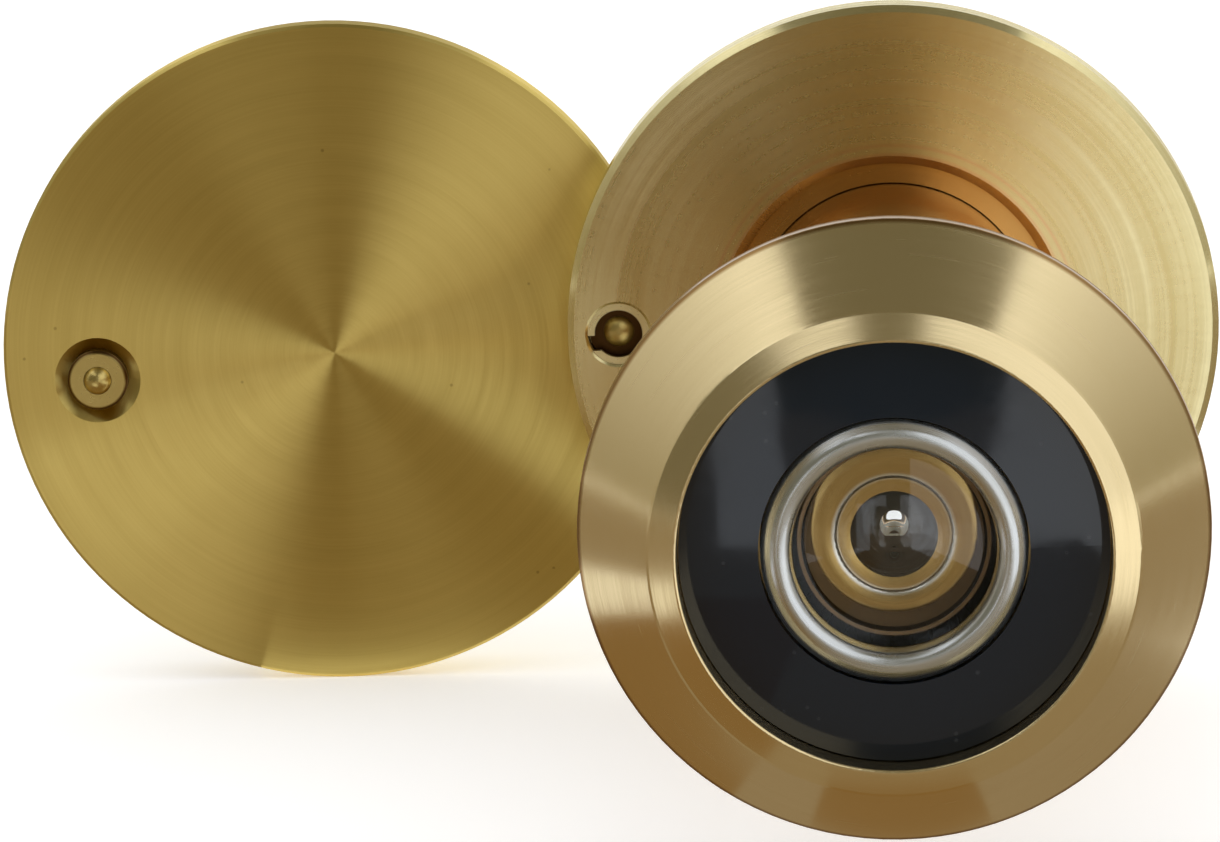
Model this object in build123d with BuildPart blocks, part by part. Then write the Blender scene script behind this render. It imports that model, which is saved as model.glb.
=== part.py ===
"""Door viewer with a swinging privacy cover, in millimetres.

The viewer axis is +Y, from the outside of the door towards the room, and +Z is up.
The origin is on that axis, where the outer flange sits on the door.
"""
from build123d import *
from math import cos, radians, sin, sqrt, tan
import os

os.makedirs("parts", exist_ok=True)

# Door and clearances
door = 48.0
running_gap = 0.05
seat_gap = 0.02
cut_over = 1.0

# Outer half: flange, collar and threaded tube
flange_r = 14.0
flange_rim = 0.8
crest_r = 10.8
crest_y = -5.85
crest_round = 0.35
lip_r = 9.5
lip_y = -6.65
edge_round = 0.12
seat_edge_break = 0.1
trim_floor_y = -3.4
collar_r = 7.0
collar_length = 3.0
collar_chamfer = 0.3
tube_r = 6.0
tube_bore_r = 5.2
tube_length = 32.0
tube_chamfer = 0.4
cell_bore_r = 5.9
cell_floor_y = 0.7
shoulder_bore_r = 4.2
shoulder_length = 0.8

# Trim ring and lens bezel
trim_inner_y = -5.2
trim_dome_r = 70.0
trim_inner_r = 5.95
trim_outer_r = lip_r - running_gap
bezel_r = 5.86
bezel_bore_r = 4.95
bezel_lip_r = 4.5
bezel_front_y = -5.45
bezel_crest_r = 5.1
bezel_roll_r = 0.55
bezel_flank_deg = 40.0
bezel_lip_t = 0.35

# Lens stack
lens_r = 4.9
objective_front_y = -5.25
objective_front_curve = 10.0
objective_centre = 1.3
objective_back_curve = 4.5
objective_back_r = 3.75
spacer_mouth_r = 3.9
spacer_step_r = 2.75
spacer_step_length = 0.2
spacer_step_round = 0.18
spacer_bore_r = 2.15
spacer_length = 0.8
spacer_cone_length = 0.45
second_bulge = 0.1
second_centre = 0.8
second_back_curve = 4.2
second_back_r = 2.6
second_seat_overlap = 0.3
third_lens_r = 5.15
third_hollow_r = 3.8
third_centre = 0.9
third_edge = 1.8
stop_bore_r = 1.2
stop_thickness = 0.4
retainer_length = 1.4
retainer_bore_r = 3.6
key_slot_width = 0.8
key_slot_depth = 0.5

# Inner half: eyepiece flange and sleeve
sleeve_r = 7.0
sleeve_reach = 31.5
sleeve_chamfer = 0.35
eye_flange_r = 9.2
eye_flange_thickness = 0.9
eye_flange_chamfer = 0.25
eye_hole_r = 4.9
eye_hole_chamfer = 0.3
eye_lip = 0.75
coin_slot_width = 1.6
coin_slot_depth = 0.5
coin_slot_inner_r = 5.4
eyepiece_r = 6.0
eyepiece_edge = 1.0
eyepiece_curve = 54.0
eyepiece_inset = 0.15
eye_retainer_length = 1.0
eye_retainer_bore_r = 5.0

# Base plate
plate_r = 16.0
plate_t = 3.4
plate_chamfer = 0.32
plate_wall = 1.9
plate_land_r = 15.0
barrel_recess_r = 8.12
barrel_recess_depth = 1.2
barrel_recess_chamfer = 0.45
plate_web = 1.0
flange_recess_r = 9.4

# Pivot
pivot_r = 13.5
pivot_pin_r = 1.2
pivot_head_r = 1.45
pivot_head_y = 0.95
pivot_head_thickness = 0.6
pivot_nub_r = 0.75
pivot_nub_height = 0.45
pivot_nub_step = 0.09
pivot_counterbore_r = 1.52
pivot_mouth_chamfer = 0.12
snap_ring_inner_r = 1.17
snap_ring_outer_r = 1.68
snap_ring_thickness = 0.3
snap_ring_y = 0.18
snap_ring_gap_deg = 26.0
snap_ring_gap_drop = 0.45
snap_ring_gap_over = 0.3
snap_groove_clearance = 0.03
washer_r = 2.0
washer_sheet = 0.2
cover_gap = 0.5

# Privacy cover and its ball plunger
cover_r = 16.5
cover_t = 4.8
cover_arm = 14.3
cover_open_deg = 185.3
cover_edge_chamfer = 0.15
cover_wall = 1.3
cover_land_r = 13.6
cover_land_round = 0.5
pin_seat_depth = 2.0
plunger_inset = 4.6
plunger_r = 1.5
plunger_length = 3.95
plunger_proud = 0.15
plunger_bore_depth = 4.0
plunger_sink_r = 2.14
plunger_chamfer = 0.15
ball_r = 0.75
ball_depth = 0.30
plunger_cavity_r = 0.8
plunger_mouth_r = 0.70
plunger_mouth_taper = 0.25
plunger_floor = 0.5
spring_wire_r = 0.1
spring_mean_r = 0.62
spring_turns = 5
dimple_r = 0.8
dimple_depth = 0.3
track_r = 0.9
track_depth = 0.15
track_start_deg = 4.0
track_deg = 30.0

# Places worked out from the sizes above
plate_door_y = door
web_y = plate_door_y + barrel_recess_depth
flange_floor_y = web_y + plate_web
plate_room_y = plate_door_y + plate_t
cover_front_y = plate_room_y + cover_gap
cover_back_y = cover_front_y + cover_t
pivot_x = -pivot_r
open_x = cos(radians(cover_open_deg))
open_z = sin(radians(cover_open_deg))
cover_x = pivot_x + cover_arm * open_x
cover_z = cover_arm * open_z
plunger_arm = cover_arm + cover_r - plunger_inset
plunger_x = pivot_x + plunger_arm * open_x
plunger_z = plunger_arm * open_z
plunger_face_y = cover_front_y - plunger_proud
ball_y = plunger_face_y + ball_depth
dimple_x = pivot_x + plunger_arm

pivot_axis = Axis((pivot_x, 0, 0), (0, 1, 0))
cover_axis = Axis((cover_x, 0, cover_z), (0, 1, 0))
plunger_axis = Axis((plunger_x, 0, plunger_z), (0, 1, 0))


def facing(y):
    """Plane across the viewer axis: sketch x is X, sketch y is Z, an extrusion goes to -Y."""
    return Plane.XZ.offset(-y)


def half_plane(x, z):
    """Plane through an axis parallel to Y: sketch x is the radius, sketch y is Y."""
    return Plane(origin=(x, 0, z), x_dir=(1, 0, 0), z_dir=(0, 0, 1))


def sag(curve, r):
    """Depth of a spherical face of radius curve at the radius r."""
    return curve - sqrt(curve ** 2 - r ** 2)


def dome_y(r):
    """Place of the trim ring's domed face at the radius r."""
    return trim_inner_y + sag(trim_dome_r, r) - sag(trim_dome_r, trim_inner_r)


def glass_y(r):
    """Place of the objective's front face at the radius r."""
    return objective_front_y + sag(objective_front_curve, r)


def lens_face(r, rim_y, vertex_y):
    """Three points from the axis to the rim of a spherical face."""
    height = rim_y - vertex_y
    curve = (r ** 2 + height ** 2) / (2 * abs(height))
    mid_y = vertex_y + sag(curve, r / 2) * height / abs(height)
    return (0, vertex_y), (r / 2, mid_y), (r, rim_y)


def circles(part, radius, y, tolerance=0.01):
    """Circular edges of one radius at one place along Y."""
    rings = part.edges().filter_by(GeomType.CIRCLE)
    rings = rings.filter_by(lambda e: abs(e.radius - radius) < tolerance)
    return rings.filter_by(lambda e: abs(e.center().Y - y) < tolerance)


def finish(part, name):
    """Label a finished piece and write its STEP file."""
    part.label = name
    export_step(part, f"parts/{name}.step")


# Outer barrel: bevelled flange, door collar, threaded tube and lens seats
with BuildPart() as outer_barrel:
    with BuildSketch(Plane.XY):
        with BuildLine():
            Polyline(
                (shoulder_bore_r, cell_floor_y),
                (cell_bore_r, cell_floor_y),
                (cell_bore_r, trim_floor_y),
                (lip_r, trim_floor_y),
                (lip_r, lip_y),
                (crest_r, crest_y),
                (flange_r, -flange_rim),
                (flange_r, 0),
                (collar_r, 0),
                (collar_r, collar_length),
                (tube_r, collar_length),
                (tube_r, tube_length),
                (tube_bore_r, tube_length),
                (tube_bore_r, cell_floor_y + shoulder_length),
                (shoulder_bore_r, cell_floor_y + shoulder_length),
                close=True,
            )
        make_face()
    revolve(axis=Axis.Y)
    fillet(circles(outer_barrel, crest_r, crest_y), crest_round)
    fillet(circles(outer_barrel, lip_r, lip_y), edge_round)
    fillet(circles(outer_barrel, flange_r, -flange_rim), edge_round)
    chamfer(circles(outer_barrel, flange_r, 0), seat_edge_break)
    chamfer(circles(outer_barrel, collar_r, collar_length), collar_chamfer)
    chamfer(circles(outer_barrel, tube_r, tube_length), tube_chamfer)
finish(outer_barrel.part, "outer_barrel")

# Black trim ring: gently domed, so it falls away towards the lip
trim_mid_r = (trim_inner_r + trim_outer_r) / 2
with BuildPart() as black_trim_ring:
    with BuildSketch(Plane.XY):
        with BuildLine():
            dome = ThreePointArc(
                (trim_inner_r, trim_inner_y),
                (trim_mid_r, dome_y(trim_mid_r)),
                (trim_outer_r, dome_y(trim_outer_r)),
            )
            Polyline(
                dome @ 1,
                (trim_outer_r, trim_floor_y),
                (trim_inner_r, trim_floor_y),
                dome @ 0,
            )
        make_face()
    revolve(axis=Axis.Y)
finish(black_trim_ring.part, "black_trim_ring")

# Lens bezel: nickel ring with a rolled front that holds the glass and a sloping outer flank
flank_angle = radians(bezel_flank_deg)
flank_r = bezel_crest_r + bezel_roll_r * sin(flank_angle)
flank_y = bezel_front_y + bezel_roll_r * (1 - cos(flank_angle))
bezel_edge_y = flank_y + (bezel_r - flank_r) * tan(flank_angle)
objective_edge_y = glass_y(lens_r)
objective_back_y = objective_front_y + objective_centre + sag(objective_back_curve, objective_back_r)
with BuildPart() as lens_bezel:
    with BuildSketch(Plane.XY):
        with BuildLine():
            roll = ThreePointArc(
                (flank_r, flank_y),
                (bezel_crest_r, bezel_front_y),
                (bezel_crest_r - bezel_roll_r, bezel_front_y + bezel_roll_r),
            )
            Polyline(
                roll @ 1,
                (bezel_lip_r, glass_y(bezel_lip_r) - bezel_lip_t),
                (bezel_lip_r, glass_y(bezel_lip_r) - seat_gap),
                (bezel_bore_r, glass_y(bezel_bore_r) - seat_gap),
                (bezel_bore_r, cell_floor_y - seat_gap),
                (bezel_r, cell_floor_y - seat_gap),
                (bezel_r, bezel_edge_y),
                roll @ 0,
            )
        make_face()
    revolve(axis=Axis.Y)
finish(lens_bezel.part, "lens_bezel")

# Objective lens: deeply hollowed meniscus
with BuildPart() as objective_lens:
    with BuildSketch(Plane.XY):
        with BuildLine():
            front = ThreePointArc(*lens_face(lens_r, objective_edge_y, objective_front_y))
            back = ThreePointArc(*lens_face(objective_back_r, objective_back_y,
                                            objective_front_y + objective_centre))
            Polyline(front @ 1, (lens_r, objective_back_y), back @ 1)
            Line(back @ 0, front @ 0)
        make_face()
    revolve(axis=Axis.Y)
finish(objective_lens.part, "objective_lens")

# Front spacer between the first two lenses: stepped cone, wide towards the objective
second_front_y = objective_back_y + spacer_length
spacer_step_y = objective_back_y + spacer_cone_length
with BuildPart() as front_spacer:
    with BuildSketch(Plane.XY):
        with BuildLine():
            Polyline(
                (lens_r, objective_back_y),
                (spacer_mouth_r, objective_back_y),
                (spacer_step_r, spacer_step_y),
                (spacer_step_r, spacer_step_y + spacer_step_length),
                (spacer_bore_r, second_front_y),
                (lens_r, second_front_y),
                close=True,
            )
        make_face()
    revolve(axis=Axis.Y)
    fillet(circles(front_spacer, spacer_step_r, spacer_step_y), spacer_step_round)
finish(front_spacer.part, "front_spacer")

# Second lens: slightly domed front, hollow back, seated on the barrel's shoulder
second_vertex_y = second_front_y - second_bulge
second_hollow_y = second_vertex_y + second_centre
second_flat_r = shoulder_bore_r - second_seat_overlap
second_rim_y = second_hollow_y + sag(second_back_curve, second_back_r)
with BuildPart() as second_lens:
    with BuildSketch(Plane.XY):
        with BuildLine():
            front = ThreePointArc(*lens_face(spacer_bore_r, second_front_y, second_vertex_y))
            back = ThreePointArc(*lens_face(second_back_r, second_rim_y, second_hollow_y))
            Polyline(
                front @ 1,
                (lens_r, second_front_y),
                (lens_r, cell_floor_y - seat_gap),
                (second_flat_r, cell_floor_y - seat_gap),
                back @ 1,
            )
            Line(back @ 0, front @ 0)
        make_face()
    revolve(axis=Axis.Y)
finish(second_lens.part, "second_lens")

# Third lens: hollow on both faces, behind the shoulder
third_front_y = cell_floor_y + shoulder_length + seat_gap
with BuildPart() as third_lens:
    with BuildSketch(Plane.XY):
        with BuildLine():
            hollow = (third_edge - third_centre) / 2
            third_back_y = third_front_y + third_edge
            front = ThreePointArc(*lens_face(third_hollow_r, third_front_y, third_front_y + hollow))
            back = ThreePointArc(*lens_face(third_hollow_r, third_back_y, third_back_y - hollow))
            Polyline(
                front @ 1,
                (third_lens_r, third_front_y),
                (third_lens_r, third_back_y),
                back @ 1,
            )
            Line(back @ 0, front @ 0)
        make_face()
    revolve(axis=Axis.Y)
finish(third_lens.part, "third_lens")

# Aperture stop behind the third lens
stop_y = third_front_y + third_edge + seat_gap
with BuildPart() as aperture_stop:
    with BuildSketch(facing(stop_y + stop_thickness)):
        Circle(third_lens_r)
        Circle(stop_bore_r, mode=Mode.SUBTRACT)
    extrude(amount=stop_thickness)
finish(aperture_stop.part, "aperture_stop")

# Lens retainer: threaded ring with two key slots
retainer_y = stop_y + stop_thickness + seat_gap
with BuildPart() as lens_retainer:
    with BuildSketch(facing(retainer_y + retainer_length)):
        Circle(third_lens_r)
        Circle(retainer_bore_r, mode=Mode.SUBTRACT)
    extrude(amount=retainer_length)
    with BuildSketch(facing(retainer_y + retainer_length)):
        Rectangle(2 * third_lens_r + cut_over, key_slot_width)
    extrude(amount=key_slot_depth, mode=Mode.SUBTRACT)
finish(lens_retainer.part, "lens_retainer")

# Inner barrel: sleeve with a slotted eyepiece flange, turned with a coin
sleeve_bore_r = tube_r + running_gap
sleeve_end_y = plate_door_y - sleeve_reach
eye_flange_y = flange_floor_y + seat_gap
eye_face_y = eye_flange_y + eye_flange_thickness
with BuildPart() as inner_barrel:
    with BuildSketch(Plane.XY):
        with BuildLine():
            Polyline(
                (sleeve_bore_r, sleeve_end_y),
                (sleeve_r, sleeve_end_y),
                (sleeve_r, eye_flange_y),
                (eye_flange_r, eye_flange_y),
                (eye_flange_r, eye_face_y),
                (eye_hole_r, eye_face_y),
                (eye_hole_r, eye_face_y - eye_lip),
                (sleeve_bore_r, eye_face_y - eye_lip),
                close=True,
            )
        make_face()
    revolve(axis=Axis.Y)
    chamfer(circles(inner_barrel, sleeve_r, sleeve_end_y), sleeve_chamfer)
    chamfer(circles(inner_barrel, eye_flange_r, eye_face_y), eye_flange_chamfer)
    chamfer(circles(inner_barrel, eye_hole_r, eye_face_y), eye_hole_chamfer)
    with BuildSketch(facing(eye_face_y)):
        slot_length = eye_flange_r - coin_slot_inner_r + cut_over
        slot_centre = coin_slot_inner_r + slot_length / 2
        with Locations((slot_centre, 0), (-slot_centre, 0)):
            Rectangle(slot_length, coin_slot_width)
    extrude(amount=coin_slot_depth, mode=Mode.SUBTRACT)
finish(inner_barrel.part, "inner_barrel")

# Eyepiece lens: equal curves on both faces
eyepiece_room_y = eye_face_y - eye_lip - seat_gap
with BuildPart() as eyepiece_lens:
    with BuildSketch(Plane.XY):
        with BuildLine():
            bulge_r = eye_hole_r - eyepiece_inset
            bulge = sag(eyepiece_curve, bulge_r)
            front_y = eyepiece_room_y - eyepiece_edge
            back = ThreePointArc(*lens_face(bulge_r, eyepiece_room_y, eyepiece_room_y + bulge))
            front = ThreePointArc(*lens_face(bulge_r, front_y, front_y - bulge))
            Polyline(back @ 1, (eyepiece_r, eyepiece_room_y), (eyepiece_r, front_y), front @ 1)
            Line(front @ 0, back @ 0)
        make_face()
    revolve(axis=Axis.Y)
finish(eyepiece_lens.part, "eyepiece_lens")

# Eyepiece retainer ring
eye_retainer_y = eyepiece_room_y - eyepiece_edge - seat_gap
with BuildPart() as eyepiece_retainer:
    with BuildSketch(facing(eye_retainer_y)):
        Circle(eyepiece_r)
        Circle(eye_retainer_bore_r, mode=Mode.SUBTRACT)
    extrude(amount=eye_retainer_length)
finish(eyepiece_retainer.part, "eyepiece_retainer")

# Base plate: rosette with the barrel recess, pivot hole, ball track and dimple
sleeve_hole_r = sleeve_r + running_gap
pivot_floor_y = plate_door_y + pivot_head_y + pivot_head_thickness + seat_gap
groove_y = plate_door_y + snap_ring_y - snap_groove_clearance
groove_width = snap_ring_thickness + 2 * snap_groove_clearance
ball_track_y = plate_room_y + track_r - track_depth
with BuildPart() as base_plate:
    with BuildSketch(Plane.XY):
        with BuildLine():
            Polyline(
                (sleeve_hole_r, web_y),
                (barrel_recess_r, web_y),
                (barrel_recess_r, plate_door_y),
                (plate_r, plate_door_y),
                (plate_r, plate_door_y + plate_wall),
                (plate_land_r, plate_room_y),
                (flange_recess_r, plate_room_y),
                (flange_recess_r, flange_floor_y),
                (sleeve_hole_r, flange_floor_y),
                close=True,
            )
        make_face()
    revolve(axis=Axis.Y)
    chamfer(circles(base_plate, plate_r, plate_door_y), plate_chamfer)
    chamfer(circles(base_plate, barrel_recess_r, plate_door_y), barrel_recess_chamfer)
    with BuildSketch(half_plane(pivot_x, 0)):
        with BuildLine():
            Polyline(
                (0, plate_door_y - cut_over),
                (pivot_counterbore_r + pivot_mouth_chamfer, plate_door_y - cut_over),
                (pivot_counterbore_r + pivot_mouth_chamfer, plate_door_y),
                (pivot_counterbore_r, plate_door_y + pivot_mouth_chamfer),
                (pivot_counterbore_r, groove_y),
                (snap_ring_outer_r + snap_groove_clearance, groove_y),
                (snap_ring_outer_r + snap_groove_clearance, groove_y + groove_width),
                (pivot_counterbore_r, groove_y + groove_width),
                (pivot_counterbore_r, pivot_floor_y),
                (pivot_pin_r + running_gap, pivot_floor_y),
                (pivot_pin_r + running_gap, plate_room_y + cut_over),
                (0, plate_room_y + cut_over),
                close=True,
            )
        make_face()
    revolve(axis=pivot_axis, mode=Mode.SUBTRACT)
    for side in (1, -1):
        start = radians(side * track_start_deg)
        track_plane = Plane(origin=(pivot_x, 0, 0), x_dir=(cos(start), 0, sin(start)),
                            z_dir=(-sin(start), 0, cos(start)))
        with BuildSketch(track_plane):
            with Locations((plunger_arm, ball_track_y)):
                Circle(track_r)
        revolve(axis=pivot_axis, revolution_arc=-side * track_deg, mode=Mode.SUBTRACT)
    with Locations((dimple_x, plate_room_y + dimple_r - dimple_depth, 0)):
        Sphere(dimple_r, mode=Mode.SUBTRACT)
finish(base_plate.part, "base_plate")

# Snap ring in the mouth of the pivot hole, open towards the plate's edge
with BuildPart() as pivot_snap_ring:
    with BuildSketch(facing(plate_door_y + snap_ring_y + snap_ring_thickness)):
        with Locations((pivot_x, 0)):
            Circle(snap_ring_outer_r)
            Circle(snap_ring_inner_r, mode=Mode.SUBTRACT)
        gap_width = 2 * snap_ring_outer_r * sin(radians(snap_ring_gap_deg / 2))
        gap_length = 2 * (snap_ring_outer_r - snap_ring_inner_r + snap_ring_gap_over)
        with Locations((pivot_x - snap_ring_outer_r, -snap_ring_gap_drop)):
            Rectangle(gap_length, gap_width, mode=Mode.SUBTRACT)
    extrude(amount=snap_ring_thickness)
finish(pivot_snap_ring.part, "pivot_snap_ring")

# Privacy cover: disc with a bevelled room face, pin seat and plunger seat
with BuildPart() as privacy_cover:
    with BuildSketch(half_plane(cover_x, cover_z)):
        with BuildLine():
            Polyline(
                (0, cover_front_y),
                (cover_r, cover_front_y),
                (cover_r, cover_front_y + cover_wall),
                (cover_land_r, cover_back_y),
                (0, cover_back_y),
                close=True,
            )
        make_face()
    revolve(axis=cover_axis)
    chamfer(circles(privacy_cover, cover_r, cover_front_y), cover_edge_chamfer)
    fillet(circles(privacy_cover, cover_land_r, cover_back_y), cover_land_round)
    with BuildSketch(facing(cover_front_y)):
        with Locations((pivot_x, 0)):
            Circle(pivot_pin_r)
    extrude(amount=-pin_seat_depth, mode=Mode.SUBTRACT)
    with BuildSketch(half_plane(plunger_x, plunger_z)):
        with BuildLine():
            Polyline(
                (0, cover_front_y - cut_over),
                (plunger_sink_r, cover_front_y - cut_over),
                (plunger_sink_r, cover_front_y),
                (plunger_r, cover_front_y + plunger_sink_r - plunger_r),
                (plunger_r, cover_front_y + plunger_bore_depth),
                (0, cover_front_y + plunger_bore_depth),
                close=True,
            )
        make_face()
    revolve(axis=plunger_axis, mode=Mode.SUBTRACT)
finish(privacy_cover.part, "privacy_cover")

# Pivot pin: headed at the door side, pressed into the cover
head_face_y = plate_door_y + pivot_head_y
head_back_y = head_face_y + pivot_head_thickness
with BuildPart() as pivot_pin:
    with BuildSketch(half_plane(pivot_x, 0)):
        with BuildLine():
            nub_rim_y = head_face_y - pivot_nub_step
            nub = ThreePointArc(*lens_face(pivot_nub_r, nub_rim_y, head_face_y - pivot_nub_height))
            Polyline(
                nub @ 1,
                (pivot_nub_r, head_face_y),
                (pivot_head_r, head_face_y),
                (pivot_head_r, head_back_y),
                (pivot_pin_r, head_back_y),
                (pivot_pin_r, cover_front_y + pin_seat_depth - seat_gap),
                (0, cover_front_y + pin_seat_depth - seat_gap),
                nub @ 0,
            )
        make_face()
    revolve(axis=pivot_axis)
finish(pivot_pin.part, "pivot_pin")

# Spring washer: a dished disc that gives the pivot its friction
with BuildPart() as pivot_spring_washer:
    with BuildSketch(half_plane(pivot_x, 0)):
        washer_inner_r = pivot_pin_r + running_gap
        low_y = plate_room_y + seat_gap
        high_y = cover_front_y - seat_gap
        with BuildLine():
            Polyline(
                (washer_inner_r, high_y - washer_sheet),
                (washer_inner_r, high_y),
                (washer_r, low_y + washer_sheet),
                (washer_r, low_y),
                close=True,
            )
        make_face()
    revolve(axis=pivot_axis)
finish(pivot_spring_washer.part, "pivot_spring_washer")

# Plunger body: pressed into the cover, with a mouth rolled in over the ball
cavity_floor_y = plunger_face_y + plunger_length - plunger_floor
with BuildPart() as plunger_body:
    with BuildSketch(half_plane(plunger_x, plunger_z)):
        with BuildLine():
            Polyline(
                (plunger_mouth_r, plunger_face_y),
                (plunger_r - plunger_chamfer, plunger_face_y),
                (plunger_r, plunger_face_y + plunger_chamfer),
                (plunger_r, plunger_face_y + plunger_length),
                (0, plunger_face_y + plunger_length),
                (0, cavity_floor_y),
                (plunger_cavity_r, cavity_floor_y),
                (plunger_cavity_r, plunger_face_y + plunger_mouth_taper),
                close=True,
            )
        make_face()
    revolve(axis=plunger_axis)
finish(plunger_body.part, "plunger_body")

# Plunger spring behind the ball
ball_seat = sqrt(ball_r ** 2 - (spring_mean_r - spring_wire_r) ** 2)
spring_start_y = ball_y + ball_seat + spring_wire_r + seat_gap
spring_length = cavity_floor_y - spring_wire_r - seat_gap - spring_start_y
with BuildPart() as plunger_spring:
    with BuildLine() as spring_path:
        Helix(
            pitch=spring_length / spring_turns,
            height=spring_length,
            radius=spring_mean_r,
            center=(plunger_x, spring_start_y, plunger_z),
            direction=(0, 1, 0),
        )
    with BuildSketch(Plane(origin=spring_path.line @ 0, z_dir=spring_path.line % 0)):
        Circle(spring_wire_r)
    sweep(path=spring_path.line, is_frenet=True)
finish(plunger_spring.part, "plunger_spring")

# Detent ball
with BuildPart() as detent_ball:
    with Locations((plunger_x, ball_y, plunger_z)):
        Sphere(ball_r)
finish(detent_ball.part, "detent_ball")
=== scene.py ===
"""Door viewer with a swinging privacy cover: finishes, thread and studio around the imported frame.

Lengths are in metres in the frame's own axes: +Y along the viewer axis towards the room, +Z up.
"""
import math

import bmesh
import bpy
from bpy.props import FloatProperty, FloatVectorProperty, PointerProperty
from bpy.types import Operator, Panel, PropertyGroup
from mathutils import Matrix, Vector


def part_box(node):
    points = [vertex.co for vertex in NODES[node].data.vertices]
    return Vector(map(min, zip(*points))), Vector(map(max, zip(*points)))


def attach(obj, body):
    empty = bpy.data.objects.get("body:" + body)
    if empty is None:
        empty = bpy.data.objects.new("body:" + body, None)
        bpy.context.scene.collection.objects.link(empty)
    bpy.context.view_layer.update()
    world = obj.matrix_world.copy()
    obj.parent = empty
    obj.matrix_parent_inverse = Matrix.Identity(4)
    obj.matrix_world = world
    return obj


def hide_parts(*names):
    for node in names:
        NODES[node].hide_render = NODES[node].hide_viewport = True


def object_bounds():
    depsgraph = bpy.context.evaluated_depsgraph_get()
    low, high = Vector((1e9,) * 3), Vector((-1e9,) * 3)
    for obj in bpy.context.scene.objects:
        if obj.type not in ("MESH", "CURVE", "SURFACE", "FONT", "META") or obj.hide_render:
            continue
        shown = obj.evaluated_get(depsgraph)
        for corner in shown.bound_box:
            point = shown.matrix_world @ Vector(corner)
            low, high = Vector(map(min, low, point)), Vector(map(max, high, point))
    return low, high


bl_info = {
    "name": "Door Viewer Dressing",
    "version": (1, 0, 0),
    "blender": (4, 5, 0),
    "location": "View3D > Sidebar > Door Viewer",
    "description": "Finishes, thread and studio for the packed door viewer",
    "category": "Object",
}

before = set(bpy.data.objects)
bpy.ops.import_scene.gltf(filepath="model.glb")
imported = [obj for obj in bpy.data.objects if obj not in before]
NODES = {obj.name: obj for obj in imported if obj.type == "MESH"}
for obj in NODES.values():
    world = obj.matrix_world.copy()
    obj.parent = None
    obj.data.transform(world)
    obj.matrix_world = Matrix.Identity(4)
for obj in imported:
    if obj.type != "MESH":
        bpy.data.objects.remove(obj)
CAD_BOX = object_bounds()
MM = 0.001
AXIS_CENTRE = (0.0, 0.0, 0.0)
TINY = 0.02 * MM

# Matt edge of the objective, and its flat rim that seats on the spacer
RIM_START = -2.06 * MM
RIM_INNER = 3.74 * MM
LENS_EDGE = 4.9 * MM

# Surfaces
MATT_ROUGHNESS = 0.7
FLOOR_ROUGHNESS = 0.9
GLASS_IOR = 1.5
LACQUER_IOR = 1.55
QUARTER_TURN = 0.25

# Fine M12 thread of the outer tube, with a shallow root over the thin wall. The profile's points
# are shares of the pitch and of the depth.
THREAD_PITCH = 1.0 * MM
THREAD_CREST = 6.0 * MM
THREAD_DEPTH = 0.35 * MM
THREAD_START = 3.0 * MM
THREAD_END = 32.0 * MM
THREAD_PROFILE = ((0.0, 0.0), (0.3, 0.0), (0.5, 1.0), (0.8, 1.0))
THREAD_COLUMNS = 96
THREAD_SHELL = 0.2 * MM
TUBE_CHAMFER = 0.4 * MM
TUBE_UNDER_THREAD = 5.5 * MM
MERGE_DISTANCE = 0.0005 * MM
SHARP_ANGLE = math.radians(25)

# Radii between which a piece has another colour, round its own axis; some of these rings are
# painted shade or a painted highlight, as marked
TUBE_BORE = (0.0, 5.5 * MM)
# Painted shade: a dark ring on the flange's outer edge
FLANGE_EDGE_SHADE = (13.86 * MM, 15.0 * MM)
# Painted highlight: a light ring on the spacer's step
SPACER_STEP_GLINT = (2.72 * MM, 2.95 * MM)
# Partly painted shade: the plate's hole wall takes the barrel's darker brass
PLATE_HOLE = (0.0, 8.15 * MM)
HOLE_CHAMFER = (8.15 * MM, 8.7 * MM)
TOOL_LINE = (9.02 * MM, 9.14 * MM)
# Painted shade: dark rings on the pin's shoulder, in the snap ring's bore and round the plunger's
# body
PIN_SHOULDER_SHADE = (0.72 * MM, 2.0 * MM)
SNAP_RING_SHADE = (0.0, 1.16 * MM)
PLUNGER_GAP_SHADE = (1.36 * MM, 1.53 * MM)
# Painted shade: radius of a dark spot round the pivot's hole on the plate
PIVOT_SHADE_R = 1.5 * MM
RING_SOFTNESS = 0.06 * MM
SPOT_SOFTNESS = 0.05 * MM

# The flange's back is painted darker and made dull from the Y below, blending in over the run after
# it: painted shade between flange and plate
BACK_SHADE_START = -0.5 * MM
BACK_SHADE_BLEND = 0.2 * MM
BACK_ROUGHNESS = 0.5

# Spacing and depth of the turning marks on the small pieces
SMALL_SPACING = 0.1 * MM
NICKEL_SPACING = 0.08 * MM
SLEEVE_SPACING = 0.12 * MM
SMALL_DEPTH = 0.002 * MM
SLIGHT_DEPTH = 0.001 * MM

# Pattern of the turning marks and of the tarnish: spans are the values that count as low and high
SLOW_PER_LINE = 0.13
FINE_SHARE = 0.65
LINE_TONE = 0.7
HEIGHT_SPAN = (0.36, 0.64)
WIDE_SPAN = (0.3, 0.7)
CHATTER_SPAN = (0.42, 0.62)
CHATTER_STEPS = 42.0
CHATTER_LINES = 900.0
PATCH_SPAN = (0.32, 0.68)
SPECK_SPAN = (0.12, 0.26)

# Shares of a metal's colour in its deep lines and in its specks, and the spread of its roughness
DEEP_TONE = (0.80, 0.74, 0.56)
SPECK_TONE = (0.45, 0.34, 0.22)
SPECK_STRENGTH = 0.5
SMOOTHER = 0.05
ROUGHER = 0.06
LEAST_ROUGHNESS = 0.02

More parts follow.
